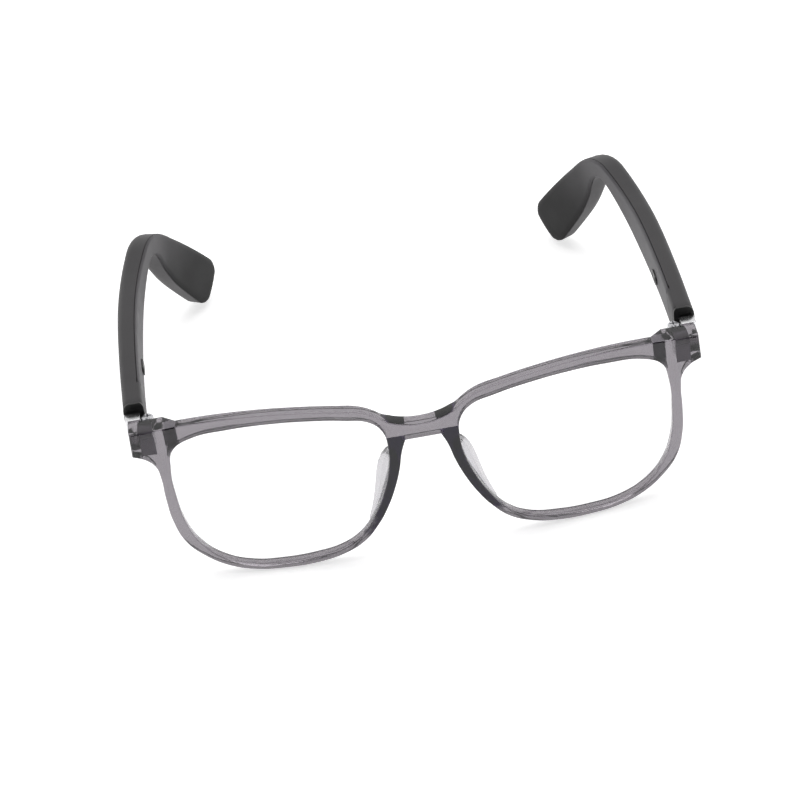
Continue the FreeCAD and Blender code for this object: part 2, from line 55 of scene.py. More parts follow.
def pick(piece):
    clearSelection()
    piece.select_set(True)
    bpy.context.view_layer.objects.active = piece


def editAll(piece, kind="VERT"):
    pick(piece)
    bpy.ops.object.mode_set(mode="EDIT")
    bpy.ops.mesh.select_mode(type=kind)
    bpy.ops.mesh.select_all(action="SELECT")


def objectMode():
    bpy.ops.object.mode_set(mode="OBJECT")


def applyPlace(piece):
    pick(piece)
    bpy.ops.object.transform_apply(location=True, rotation=True, scale=True)


def applyModifiers(piece):
    pick(piece)
    for modifier in list(piece.modifiers):
        bpy.ops.object.modifier_apply(modifier=modifier.name)


def sliceAcross(piece, places, axis):
    editAll(piece)
    for place in places:
        spot = [0.0, 0.0, 0.0]
        spot[axis] = place
        normal = [0.0, 0.0, 0.0]
        normal[axis] = 1.0
        bpy.ops.mesh.select_all(action="SELECT")
        bpy.ops.mesh.bisect(plane_co=spot, plane_no=normal)
    objectMode()


def reshape(piece, move):
    for vertex in piece.data.vertices:
        vertex.co = move(vertex.co)
    piece.data.update()


def outwardNormals(piece, merge=0.0):
    editAll(piece)
    if merge:
        bpy.ops.mesh.remove_doubles(threshold=merge)
    bpy.ops.mesh.normals_make_consistent(inside=False)
    objectMode()


def toMetres(piece):
    reshape(piece, lambda co: co * mm)


def smooth(piece, angle=35):
    pick(piece)
    bpy.ops.object.shade_smooth_by_angle(angle=math.radians(angle))


def cutAway(piece, cutter, operation="DIFFERENCE"):
    boolean = piece.modifiers.new("cut", "BOOLEAN")
    boolean.operation = operation
    boolean.solver = "EXACT"
    boolean.object = cutter
    applyModifiers(piece)


def remove(piece):
    bpy.data.objects.remove(piece, do_unlink=True)


def copyOf(piece, name):
    twin = piece.copy()
    twin.data = piece.data.copy()
    twin.name = name
    bpy.context.collection.objects.link(twin)
    return twin


def mirrored(piece, name):
    twin = copyOf(piece, name)
    reshape(twin, lambda co: Vector((-co.x, co.y, co.z)))
    editAll(twin)
    bpy.ops.mesh.flip_normals()
    objectMode()
    return twin


def softenEdges(piece, width, segments=2, angle=40):
    bevel = piece.modifiers.new("soft edges", "BEVEL")
    bevel.width = width
    bevel.segments = segments
    bevel.limit_method = "ANGLE"
    bevel.angle_limit = math.radians(angle)
    bevel.use_clamp_overlap = False
    applyModifiers(piece)


def hand(piece, body, slot, material, *cadNodes):
    piece.data.materials.clear()
    piece.data.materials.append(material)
    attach(piece, body)
    if cadNodes:
        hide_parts(*cadNodes)


# materials

def newMaterial(name, **settings):
    material = bpy.data.materials.new(name)
    material.use_nodes = True
    shader = material.node_tree.nodes["Principled BSDF"]
    for key, value in settings.items():
        shader.inputs[key.replace("_", " ")].default_value = value
    return material, shader


def addNode(tree, kind, **settings):
    node = tree.nodes.new(kind)
    for key, value in settings.items():
        if key == "inputs":
            for socket, content in value.items():
                node.inputs[socket].default_value = content
        else:
            setattr(node, key, value)
    return node


def newGroup(name, inputs, outputs):
    group = bpy.data.node_groups.new(name, "ShaderNodeTree")
    for label, kind, value in inputs:
        socket = group.interface.new_socket(label, in_out="INPUT", socket_type=kind)
        socket.default_value = value
    for label, kind in outputs:
        group.interface.new_socket(label, in_out="OUTPUT", socket_type=kind)
    return group, group.nodes.new("NodeGroupInput"), group.nodes.new("NodeGroupOutput")


def placeGroup(tree, group, **values):
    node = tree.nodes.new("ShaderNodeGroup")
    node.node_tree = group
    for key, value in values.items():
        node.inputs[key].default_value = value
    return node


def buildGrain():
    # two sizes of noise give a moulded surface its colour, roughness and bump
    group, start, end = newGroup("mouldedGrain", [
        ("Colour", "NodeSocketColor", (0.05, 0.05, 0.05, 1)), ("Mottle", "NodeSocketFloat", 0.08),
        ("Fine", "NodeSocketFloat", 4000.0), ("Coarse", "NodeSocketFloat", 120.0),
        ("Rough", "NodeSocketFloat", 0.5), ("Depth", "NodeSocketFloat", 0.1),
    ], [("Colour", "NodeSocketColor"), ("Rough", "NodeSocketFloat"),
        ("Normal", "NodeSocketVector")])
    links = group.links
    place = addNode(group, "ShaderNodeTexCoord")
    fine = addNode(group, "ShaderNodeTexNoise", inputs={"Detail": 3.0, "Roughness": 0.6})
    coarse = addNode(group, "ShaderNodeTexNoise", inputs={"Detail": 4.0, "Roughness": 0.55})
    for noise, size in ((fine, "Fine"), (coarse, "Coarse")):
        links.new(place.outputs["Object"], noise.inputs["Vector"])
        links.new(start.outputs[size], noise.inputs["Scale"])
    both = addNode(group, "ShaderNodeMath", operation="MULTIPLY_ADD")
    both.inputs[1].default_value = 0.6
    links.new(coarse.outputs["Fac"], both.inputs[0])
    half = addNode(group, "ShaderNodeMath", operation="MULTIPLY")
    half.inputs[1].default_value = 0.4
    links.new(fine.outputs["Fac"], half.inputs[0])
    links.new(half.outputs[0], both.inputs[2])
    centred = addNode(group, "ShaderNodeMath", operation="SUBTRACT")
    centred.inputs[1].default_value = 0.5
    links.new(both.outputs[0], centred.inputs[0])
    swing = addNode(group, "ShaderNodeMath", operation="MULTIPLY_ADD")
    swing.inputs[2].default_value = 1.0
    links.new(centred.outputs[0], swing.inputs[0])
    links.new(start.outputs["Mottle"], swing.inputs[1])
    tinted = addNode(group, "ShaderNodeVectorMath", operation="SCALE")
    links.new(start.outputs["Colour"], tinted.inputs[0])
    links.new(swing.outputs[0], tinted.inputs["Scale"])
    links.new(tinted.outputs["Vector"], end.inputs["Colour"])
    rough = addNode(group, "ShaderNodeMath", operation="MULTIPLY_ADD", use_clamp=True)
    rough.inputs[1].default_value = 0.25
    links.new(centred.outputs[0], rough.inputs[0])
    links.new(start.outputs["Rough"], rough.inputs[2])
    links.new(rough.outputs[0], end.inputs["Rough"])
    bump = addNode(group, "ShaderNodeBump", inputs={"Distance": 0.00003})
    links.new(fine.outputs["Fac"], bump.inputs["Height"])
    links.new(start.outputs["Depth"], bump.inputs["Strength"])
    links.new(bump.outputs["Normal"], end.inputs["Normal"])
    return group


grain = buildGrain()


def linkFinish(tree, finish, shader):
    for output, socket in (("Colour", "Base Color"), ("Rough", "Roughness"), ("Normal", "Normal")):
        tree.links.new(finish.outputs[output], shader.inputs[socket])


def grainedMaterial(name, colour, mottle=0.3, fine=4000.0, coarse=120.0, rough=0.5, depth=0.05,
                    **settings):
    material, shader = newMaterial(name, **settings)
    tree = material.node_tree
    finish = placeGroup(tree, grain, Colour=(*colour, 1), Mottle=mottle, Fine=fine,
                        Coarse=coarse, Rough=rough, Depth=depth)
    linkFinish(tree, finish, shader)
    return material


def chainMath(tree, operation, first, second, clamp=False):
    node = addNode(tree, "ShaderNodeMath", operation=operation, use_clamp=clamp)
    for socket, value in zip(node.inputs, (first, second)):
        if isinstance(value, (int, float)):
            socket.default_value = value
        else:
            tree.links.new(value, socket)
    return node.outputs[0]


def fadeBetween(tree, value, low, high):
    node = addNode(tree, "ShaderNodeMapRange", interpolation_type="SMOOTHSTEP",
                   inputs={"From Min": low, "From Max": high})
    tree.links.new(value, node.inputs["Value"])
    return node.outputs["Result"]


def buildPaintedShadeTint():
    # painted shade darkens the grey acetate down both nasal rims, and a painted dark reflection
    # lies at the end-piece ramps
    group, start, end = newGroup("acetatePaintedShade", [
        ("Clear", "NodeSocketColor", (0.3, 0.28, 0.3, 1)),
        ("Deep", "NodeSocketColor", (0.03, 0.025, 0.035, 1)),
    ], [("Colour", "NodeSocketColor"), ("Deepness", "NodeSocketFloat")])
    tree = group
    place = addNode(tree, "ShaderNodeTexCoord")
    apart = addNode(tree, "ShaderNodeSeparateXYZ")
    tree.links.new(place.outputs["Object"], apart.inputs[0])
    side = chainMath(tree, "ABSOLUTE", apart.outputs["X"], 0)
    up = apart.outputs["Z"]
    # painted shade down both nasal rims: a ragged edge, below a plane that drops towards the back,
    # fading out along the lower rim
    streaks = addNode(tree, "ShaderNodeTexNoise",
                      inputs={"Scale": 260.0, "Detail": 3.0, "Distortion": 0.8})
    tree.links.new(place.outputs["Object"], streaks.inputs["Vector"])
    uneven = chainMath(tree, "SUBTRACT", streaks.outputs["Fac"], 0.5)
    ragged = chainMath(tree, "MULTIPLY", uneven, 0.012)
    reach = chainMath(tree, "ADD", side, ragged)
    depth = chainMath(tree, "SUBTRACT", apart.outputs["Y"], planFront * mm)
    leaning = chainMath(tree, "ADD", up, chainMath(tree, "MULTIPLY", depth, acetate["nasalLean"]))
    below = chainMath(tree, "LESS_THAN", leaning, acetate["nasalTop"] * mm)
    fadeStart, fadeEnd = (value * mm for value in acetate["nasalFade"])
    near = chainMath(tree, "SUBTRACT", 1.0, fadeBetween(tree, reach, fadeStart, fadeEnd))
    under = chainMath(tree, "LESS_THAN", up, acetate["bridgeLow"] * mm)
    beside = chainMath(tree, "GREATER_THAN", side, acetate["nasalInner"] * mm)
    nasal = chainMath(tree, "MULTIPLY", below, near)
    nasal = chainMath(tree, "MULTIPLY", nasal, chainMath(tree, "MAXIMUM", under, beside))
    # a painted dark reflection of the end-piece ramps, in a band across their slope
    rampStart, rampEnd = acetate["ramp"]
    rampIn = fadeBetween(tree, side, rampStart * mm, (rampStart + 0.5) * mm)
    rampOut = fadeBetween(tree, side, (rampEnd - 0.5) * mm, rampEnd * mm)
    paintedRampReflection = chainMath(tree, "MULTIPLY", rampIn, chainMath(tree, "SUBTRACT", 1.0, rampOut))
    aboveRamp = chainMath(tree, "GREATER_THAN", up, acetate["rampLow"] * mm)
    paintedRampReflection = chainMath(tree, "MULTIPLY", paintedRampReflection, aboveRamp)
    paintedRampReflection = chainMath(tree, "MULTIPLY", paintedRampReflection, acetate["rampShare"])
    paintedShadeAndReflection = chainMath(tree, "MAXIMUM", nasal, paintedRampReflection)
    mottle = addNode(tree, "ShaderNodeTexNoise", inputs={"Scale": 45.0, "Detail": 2.0})
    tree.links.new(place.outputs["Object"], mottle.inputs["Vector"])
    patchy = chainMath(tree, "SUBTRACT", mottle.outputs["Fac"], 0.4)
    cloud = chainMath(tree, "MULTIPLY", patchy, 0.12)
    total = chainMath(tree, "ADD", paintedShadeAndReflection, cloud, clamp=True)
    mix = addNode(tree, "ShaderNodeMix", data_type="RGBA")
    tree.links.new(total, mix.inputs["Factor"])
    tree.links.new(start.outputs["Clear"], mix.inputs["A"])
    tree.links.new(start.outputs["Deep"], mix.inputs["B"])
    tree.links.new(mix.outputs["Result"], end.inputs["Colour"])
    tree.links.new(total, end.inputs["Deepness"])
    return group


acetate = {
    "clear": (0.238, 0.221, 0.24),
    "paintedShadeAndReflection": (0.003, 0.001, 0.009),
    "nasalTop": 36.6,             # the painted shade starts just above the bridge's lower edge
    "nasalLean": 0.42,            # on a plane that drops towards the back
    "bridgeLow": 34.8,
    "nasalInner": 5.2,
    "nasalFade": (15.0, 19.5),    # and fades out along the lower rim
    # where the end-piece ramps get a painted dark reflection, and how strong it is
    "ramp": (60.0, 63.4),
    "rampLow": 39.5,
    "rampShare": 0.75,
    "ior": 1.49,
    "roughness": 0.04,
}


def acetateMaterial():
    material, shader = newMaterial("greyAcetate", Transmission_Weight=1.0, IOR=acetate["ior"],
                                   Roughness=acetate["roughness"])
    tree = material.node_tree
    # the tint carries painted shade at the nasal rims and a painted dark reflection at the
    # end-piece ramps
    tint = placeGroup(tree, buildPaintedShadeTint(), Clear=(*acetate["clear"], 1), Deep=(*acetate["paintedShadeAndReflection"], 1))
    tree.links.new(tint.outputs["Colour"], shader.inputs["Base Color"])
    polish = addNode(tree, "ShaderNodeTexNoise", inputs={"Scale": 900.0, "Detail": 2.0})
    place = addNode(tree, "ShaderNodeTexCoord")
    tree.links.new(place.outputs["Object"], polish.inputs["Vector"])
    bump = addNode(tree, "ShaderNodeBump", inputs={"Strength": 0.02, "Distance": 0.00002})
    tree.links.new(polish.outputs["Fac"], bump.inputs["Height"])
    tree.links.new(bump.outputs["Normal"], shader.inputs["Normal"])
    return material


def clearMaterial(name, colour, ior, roughness):
    material, shader = newMaterial(name, Transmission_Weight=1.0, IOR=ior)
    tree = material.node_tree
    place = addNode(tree, "ShaderNodeTexCoord")
    haze = addNode(tree, "ShaderNodeTexNoise", inputs={"Scale": 60.0, "Detail": 3.0})
    tree.links.new(place.outputs["Object"], haze.inputs["Vector"])
    span = addNode(tree, "ShaderNodeMapRange",
                   inputs={"To Min": roughness, "To Max": roughness * 1.6})
    tree.links.new(haze.outputs["Fac"], span.inputs["Value"])
    tree.links.new(span.outputs["Result"], shader.inputs["Roughness"])
    ramp = addNode(tree, "ShaderNodeMix", data_type="RGBA")
    ramp.inputs["A"].default_value = (*colour, 1)
    ramp.inputs["B"].default_value = (*(c * 0.97 for c in colour), 1)
    tree.links.new(haze.outputs["Fac"], ramp.inputs["Factor"])
    tree.links.new(ramp.outputs["Result"], shader.inputs["Base Color"])
    return material


def metalWithPaintedShade(name, bright, dark, behind):
    # metal that is bright in the open, with painted shade darkening it where it is moulded into the
    # plastic
    material, shader = newMaterial(name, Metallic=1.0, Roughness=0.3)
    tree = material.node_tree
    finish = placeGroup(tree, grain, Mottle=0.06, Fine=600.0, Coarse=120.0, Rough=0.3, Depth=0.0)
    place = addNode(tree, "ShaderNodeTexCoord")
    apart = addNode(tree, "ShaderNodeSeparateXYZ")
    tree.links.new(place.outputs["Object"], apart.inputs[0])
    edge = (planFront + behind) * mm
    openAir = fadeBetween(tree, apart.outputs["Y"], edge - 0.2 * mm, edge + 0.2 * mm)
    mix = addNode(tree, "ShaderNodeMix", data_type="RGBA")
    mix.inputs["A"].default_value = (*dark, 1)
    mix.inputs["B"].default_value = (*bright, 1)
    tree.links.new(openAir, mix.inputs["Factor"])
    tree.links.new(mix.outputs["Result"], finish.inputs["Colour"])
    tree.links.new(finish.outputs["Colour"], shader.inputs["Base Color"])
    return material


def paintedShadeGradientMaterial(name, colour, rough, low, high, share, **settings):
    # a soft-touch coat with painted shade, its colour darker lower down, towards the tips
    material, shader = newMaterial(name, **settings)
    tree = material.node_tree
    finish = placeGroup(tree, grain, Mottle=0.3, Fine=4000.0, Coarse=120.0, Rough=rough, Depth=0.05)
    place = addNode(tree, "ShaderNodeTexCoord")
    apart = addNode(tree, "ShaderNodeSeparateXYZ")
    tree.links.new(place.outputs["Object"], apart.inputs[0])
    # painted shade: the colour fades darker from the upper height to the lower one
    height = fadeBetween(tree, apart.outputs["Z"], low * mm, high * mm)
    mix = addNode(tree, "ShaderNodeMix", data_type="RGBA")
    mix.inputs["A"].default_value = (*(c * share for c in colour), 1)
    mix.inputs["B"].default_value = (*colour, 1)
    tree.links.new(height, mix.inputs["Factor"])
    tree.links.new(mix.outputs["Result"], finish.inputs["Colour"])
    linkFinish(tree, finish, shader)
    return material


finishes = {
    "acetate": acetateMaterial(),
    "lens": clearMaterial("lensClear", (0.985, 0.985, 0.985), 1.12, 0.0),
    "pad": clearMaterial("padSilicone", (0.54, 0.53, 0.55), 1.42, 0.08),
    "shell": grainedMaterial("charcoalSoftTouch", (0.032, 0.0295, 0.032), rough=0.56),
    # the grey cover has painted shade, fading from full colour at 48 mm height to its darkest at 14
    # mm
    "cover": paintedShadeGradientMaterial("greySoftTouch", (0.092, 0.088, 0.094), rough=0.46, low=14,
                               high=48, share=0.05, IOR=1.22),
    "cap": grainedMaterial("blackCap", (0.006, 0.006, 0.006), rough=0.45),
    "port": grainedMaterial("blackPort", (0.008, 0.008, 0.008), rough=0.35),
    # the hinge base's nickel is darkened by painted shade where it sits inside the acetate
    "sunkNickelPaintedShade": metalWithPaintedShade("sunkNickelPaintedShade", (0.8, 0.8, 0.81), (0.17, 0.155, 0.18), 13.4),
    "nickel": grainedMaterial("brightNickel", (0.8, 0.8, 0.81), mottle=0.15, coarse=300.0,
                              rough=0.2, depth=0.08, Metallic=1.0),
    "screw": grainedMaterial("screwSteel", (0.62, 0.62, 0.64), mottle=0.2, coarse=300.0,
                             rough=0.25, depth=0.1, Metallic=1.0),
    "gold": grainedMaterial("contactGold", (0.85, 0.6, 0.25), mottle=0.15, rough=0.22,
                            Metallic=1.0),
    "mesh": grainedMaterial("meshSteel", (0.25, 0.25, 0.26), mottle=0.2, rough=0.35, Metallic=1.0),
    "board": grainedMaterial("boardGreen", (0.02, 0.16, 0.06), rough=0.4),
    "film": grainedMaterial("sensorFilm", (0.5, 0.3, 0.08), rough=0.3),
    "foil": grainedMaterial("batteryFoil", (0.6, 0.62, 0.64), mottle=0.2, coarse=400.0,
                            rough=0.35, Metallic=1.0),
    "speaker": grainedMaterial("speakerBlack", (0.02, 0.02, 0.02), rough=0.4),
    "can": grainedMaterial("microphoneCan", (0.7, 0.68, 0.6), rough=0.3, Metallic=1.0),
    "flex": grainedMaterial("flexAmber", (0.45, 0.2, 0.04), rough=0.35),
}
print("materials ready")


# front frame: a bevelled plate, wrapped round the face, with thicker ends

front = {
    "wrapRadius": 328.0,
    "rimDepth": 3.2,
    "bridgeDepth": 4.1,
    "endDepth": 6.0,
    "endStart": (60.2, 63.4),          # the ramp up to the end piece's full depth
    "endLow": (28.0, 39.0),            # where the end piece thins to the rim, in height
    "edgeRound": 0.42,
    "slice": 2.6,                      # width of the strips that follow the wrap
    "halfWidth": 72.6,
    "bridgeSides": (7.2, 10.5),        # the thick bridge thins to the rims between these
    "bridgeLow": (31.0, 33.0),
    "extraSlices": (8.8, 61.8),        # more strips on the bridge's and the end pieces' slopes
    "heightSlices": range(29, 39),
}
lens = {
    "setBack": 0.8,
    "depth": 1.6,
    "edgeRound": 0.02,
    "inner": 8.0,
    "outer": 66.0,
    "slice": 3.0,
    "grow": 1.012,                     # about its middle, to reach into the groove
    "middle": (36.6, 23.5),
}
browPoints = [(0, 39.3), (4.5, 39.8), (8.2, 41.2), (11.2, 43.6), (14.8, 45.5), (21, 46.7),
              (31, 47.9), (42, 48.4), (54, 47.9), (64, 46.6), (72.3, 45.2)]
rimPoints = [(72.6, 38.3), (69.4, 37.2), (67.3, 35.0), (66.6, 31.5), (66.5, 25), (65.9, 17.5),
             (63.8, 10.8), (60, 6.3), (54, 2.3), (47, 0.35), (40, 0), (32, 0.5), (25, 2.1),
             (19, 5.2), (14.6, 10), (11.4, 15.2), (8.8, 21), (7, 26.5), (5.9, 31.2), (4.5, 34.9)]
openingPoints = [(9.1, 33.0), (9.9, 38.5), (12.8, 41.8), (19, 43.5), (28, 44.8), (38, 45.3),
                 (48, 44.8), (57, 43.2), (62, 40.0), (63.6, 34.0), (63.7, 25.0), (62.6, 16.5),
                 (59.8, 9.7), (54.6, 4.7), (47.6, 2.1), (40, 1.7), (31.5, 2.4), (24, 4.2),
                 (18.8, 7.7), (14.8, 13.4), (11.6, 20.4), (9.6, 27.4)]


def wrapY(x):
    radius = front["wrapRadius"]
    return radius - math.sqrt(radius ** 2 - x ** 2)


def easeBetween(value, low, high):
    t = min(max((value - low) / (high - low), 0.0), 1.0)
    return t * t * (3 - 2 * t)


def mirrorPoints(points):
    return [(-x, z) for x, z in reversed(points)]


def addLoop(curve, points, corners=()):
    spline = curve.splines.new("BEZIER")
    spline.bezier_points.add(len(points) - 1)
    for point, (x, z) in zip(spline.bezier_points, points):
        point.co = (x, z, 0)
        kind = "VECTOR" if (round(abs(x), 2), round(z, 2)) in corners else "AUTO"
        point.handle_left_type = kind
        point.handle_right_type = kind
    spline.use_cyclic_u = True
    return spline


def plateFromLoops(name, loops, depth, edgeRound, corners=(), steps=8):
    # a flat plate standing in XZ, its front at y = 0, in mm
    clearSelection()
    curve = bpy.data.curves.new(name, "CURVE")
    curve.dimensions = "2D"
    curve.fill_mode = "BOTH"
    curve.resolution_u = steps
    curve.extrude = depth / 2 - edgeRound
    curve.bevel_depth = edgeRound
    curve.bevel_resolution = 3
    curve.offset = -edgeRound
    for points in loops:
        addLoop(curve, points, corners)
    piece = bpy.data.objects.new(name, curve)
    bpy.context.collection.objects.link(piece)
    pick(piece)
    bpy.ops.object.convert(target="MESH")
    piece = bpy.context.object
    piece.rotation_euler = (math.radians(90), 0, 0)
    piece.location = (0, depth / 2, 0)
    applyPlace(piece)
    outwardNormals(piece, merge=0.004)
    return piece


def slices(low, high, step):
    count = math.ceil((high - low) / step)
    return [low + (high - low) * index / count for index in range(1, count)]


def endShare(x, z):      # 0 on the rims, 1 where the end piece has its full depth
    inner, outer = front["endStart"]
    across = min(max((abs(x) - inner) / (outer - inner), 0.0), 1.0)
    return across * easeBetween(z, *front["endLow"])


def bridgeShare(x, z):
    across = 1.0 - easeBetween(abs(x), *front["bridgeSides"])
    return across * easeBetween(z, *front["bridgeLow"])


def wrapFront(co):
    share = co.y / front["rimDepth"]
    depth = front["rimDepth"]
    depth += (front["endDepth"] - depth) * endShare(co.x, co.z)
    depth += (front["bridgeDepth"] - front["rimDepth"]) * bridgeShare(co.x, co.z)
    return Vector((co.x, planFront + wrapY(co.x) + share * depth, co.z))


def buildFrontFrame():
    corners = ((72.3, 45.2), (72.6, 38.3), (4.5, 34.9))
    outline = browPoints + rimPoints + mirrorPoints(rimPoints) + mirrorPoints(browPoints)[:-1]
    loops = [outline, openingPoints, mirrorPoints(openingPoints)]
    piece = plateFromLoops("frontFrame", loops, front["rimDepth"], front["edgeRound"], corners)
    side = front["halfWidth"]
    places = slices(-side, side, front["slice"])
    bridgeSlice, endSlice = front["extraSlices"]
    bridgeNear, bridgeFar = front["bridgeSides"]
    slopes = (bridgeNear, bridgeSlice, bridgeFar, *front["endStart"], endSlice)
    places += [sign * x for sign in (-1, 1) for x in slopes]
    sliceAcross(piece, places, 0)
    sliceAcross(piece, [float(z) for z in front["heightSlices"]], 2)
    reshape(piece, wrapFront)
    toMetres(piece)
    smooth(piece, 30)
    hand(piece, "front", "front_plastic", finishes["acetate"], "front_frame")
    return piece


def buildLenses():
    across, height = lens["middle"]
    inner, outer = lens["inner"], lens["outer"]
    for name, flip in (("lensLeft", False), ("lensRight", True)):
        points = mirrorPoints(openingPoints) if flip else openingPoints
        piece = plateFromLoops(name, [points], lens["depth"], lens["edgeRound"])
        low, high = (-outer, -inner) if flip else (inner, outer)
        sliceAcross(piece, slices(low, high, lens["slice"]), 0)
        middle = Vector((-across if flip else across, 0, height))

        def wrap(co):
            wide = middle + (co - middle) * lens["grow"]
            return Vector((wide.x, planFront + wrapY(wide.x) + lens["setBack"] + co.y, wide.z))
        reshape(piece, wrap)
        toMetres(piece)
        smooth(piece, 30)
        node = "lens_right" if flip else "lens_left"
        hand(piece, "front", "lens_clear", finishes["lens"], node)


buildFrontFrame()
buildLenses()
print("front frame and lenses built")


# temples: modelled on a straight line, then laid along the bent one

temple = {
    "start": 17.6,
    "middle": 42.5,
    "drop": math.radians(4.14),
    "straight": 83.0,
    "bendRadius": 24.0,
    "bendTurn": math.radians(44.0),
    "shellStart": 0.85,
    "coverDepth": 0.8,
    "seamGap": 0.1,
    "wall": 1.1,
    "tipRound": 6.0,                   # radius of the tip seen from the side
    "tipEdge": 2.4,                    # and seen from above
    "edgeSoftness": 0.16,
    "cavityEnd": 127.0,
    "ringStep": 2.4,
    "slantFoot": 8.0,                  # where the cover's slanted front edge crosses the middle
    "slantRise": 0.57,
    "innerRound": 0.9,
    "outerRound": 0.75,                # share of half the thickness
    "innerDrop": 0.3,                  # share of half the height
}
# distance along the temple, centre x, thickness, height, centre above the path
templeStations = [
    (0, 70.5, 5.2, 10.5, 0.0), (25, 70.9, 5.3, 10.6, 0.0), (50, 70.6, 5.6, 10.4, 0.2),
    (68, 69.4, 5.9, 8.0, 1.3), (83, 67.2, 6.4, 5.3, 3.3), (92, 65.2, 7.0, 5.4, 3.5),
    (101, 63.0, 7.4, 8.9, 2.2), (111, 60.2, 7.5, 11.7, 1.3), (122, 56.6, 7.3, 13.0, 0.6),
    (135.4, 52.0, 6.4, 13.6, -0.3),
]
tipEnd = templeStations[-1][0]


def stationSlope(index, column):
    first = templeStations[max(index - 1, 0)]
    last = templeStations[min(index + 1, len(templeStations) - 1)]
    return (last[column] - first[column]) / (last[0] - first[0])


def stationValue(distance, column):
    index = 0
    while index < len(templeStations) - 2 and distance > templeStations[index + 1][0]:
        index += 1
    first, second = templeStations[index], templeStations[index + 1]
    span = second[0] - first[0]
    t = (distance - first[0]) / span
    rise = second[column] - first[column]
    startSlope = stationSlope(index, column) * span
    endSlope = stationSlope(index + 1, column) * span
    bow = startSlope - rise + (rise * 2 - startSlope - endSlope) * t
    return first[column] + rise * t + bow * t * (1 - t)


def centreLine(distance):
    angle = temple["drop"]
    run = min(distance, temple["straight"])
    y = temple["start"] + run * math.cos(angle)
    z = temple["middle"] - run * math.sin(angle)
    radius = temple["bendRadius"]
    turned = min(max(0.0, distance - temple["straight"]) / radius, temple["bendTurn"])
    y += radius * (math.sin(angle + turned) - math.sin(angle))
    z -= radius * (math.cos(angle) - math.cos(angle + turned))
    beyond = distance - run - radius * turned
    y += beyond * math.cos(angle + turned)
    z -= beyond * math.sin(angle + turned)
    lift = stationValue(distance, 4)
    y += lift * math.sin(angle + turned)
    z += lift * math.cos(angle + turned)
    return Vector((stationValue(distance, 1), y + planFront, z))


def alongTemple(distance, outwardBy, upwardBy):      # a point beside the centre line
    step = 2.0
    along = (centreLine(distance + step) - centreLine(distance - step)).normalized()
    outward = along.cross(Vector((0, 0, 1))).normalized()
    upward = outward.cross(along)
    return centreLine(distance) + outward * outwardBy + upward * upwardBy


def cornerArc(first, tip, last, steps=6):
    pull = 0.55
    poles = [first, first.lerp(tip, pull), last.lerp(tip, pull), last]
    arc = []
    for index in range(steps):
        t = index / steps
        weights = ((1 - t) ** 3, 3 * t * (1 - t) ** 2, 3 * t * t * (1 - t), t ** 3)
        arc.append(sum((pole * weight for pole, weight in zip(poles, weights)), Vector((0, 0))))
    return arc


def sideRun(first, last, crown, steps):
    run = []
    for index in range(steps):
        t = index / steps
        point = first.lerp(last, t)
        point.x += crown * 4 * t * (1 - t) / 2
        run.append(point)
    return run


def templeOutline(distance):
    # rounder outside, with a softer inner edge; eight runs, clockwise from the inner foot
    half = stationValue(distance, 2) / 2
    tall = stationValue(distance, 3) / 2
    outside = temple["outerRound"] * half
    side = tall - temple["innerDrop"] * tall
    inner = -half + temple["innerRound"]
    outer = half - outside
    inFoot, inTop = Vector((-half, -side)), Vector((-half, side))
    topIn, topOut = Vector((inner, tall)), Vector((outer, tall))
    outTop, outFoot = Vector((half, tall - outside)), Vector((half, -tall + outside))
    footOut, footIn = Vector((outer, -tall)), Vector((inner, -tall))
    outline = sideRun(inFoot, inTop, -0.04 * tall, 6)
    outline += cornerArc(inTop, Vector((-half, tall)), topIn)
    outline += sideRun(topIn, topOut, 0, 3)
    outline += cornerArc(topOut, Vector((half, tall)), outTop)
    outline += sideRun(outTop, outFoot, 0.05 * tall, 6)
    outline += cornerArc(outFoot, Vector((half, -tall)), footOut)
    outline += sideRun(footOut, footIn, 0, 3)
    outline += cornerArc(footIn, Vector((-half, -tall)), inFoot)
    radius = temple["tipRound"]
    into = distance - (tipEnd - radius)
    if into > 0:
        lost = radius - math.sqrt(max(radius ** 2 - into ** 2, 0.0))
        keepTall = (tall - lost) / tall
        roundEdge = temple["tipEdge"]
        late = max(0.0, distance - (tipEnd - roundEdge))
        lostHalf = roundEdge - math.sqrt(max(roundEdge ** 2 - late ** 2, 0.0))
        keepHalf = (half - lostHalf) / half
        outline = [Vector((point.x * keepHalf, point.y * keepTall)) for point in outline]
    return outline


def ringPlaces():
    places = slices(temple["shellStart"], 129.0, temple["ringStep"])
    places += [tipEnd - temple["tipRound"] * (1 - math.sin(math.radians(turn)))
               for turn in range(0, 90, 9)]
    places += [tipEnd - 0.02]
    return places


def layBlank(name):
    sides = len(templeOutline(10.0))
    clearSelection()
    length = tipEnd - temple["shellStart"]
    bpy.ops.mesh.primitive_cylinder_add(vertices=sides, radius=1.0, depth=length,
                                        rotation=(math.radians(-90), 0, 0),
                                        location=(0, temple["shellStart"] + length / 2, 0))
    piece = bpy.context.object
    piece.name = name
    applyPlace(piece)
    sliceAcross(piece, ringPlaces(), 1)
    outlines = {}

    def lay(co):
        distance = co.y
        key = round(distance, 3)
        if key not in outlines:
            outlines[key] = templeOutline(distance)
        turn = math.atan2(co.x, co.z) / (2 * math.pi) * sides
        point = outlines[key][round(turn) % sides]
        return alongTemple(distance, point.x, point.y)
    reshape(piece, lay)
    outwardNormals(piece)
    return piece


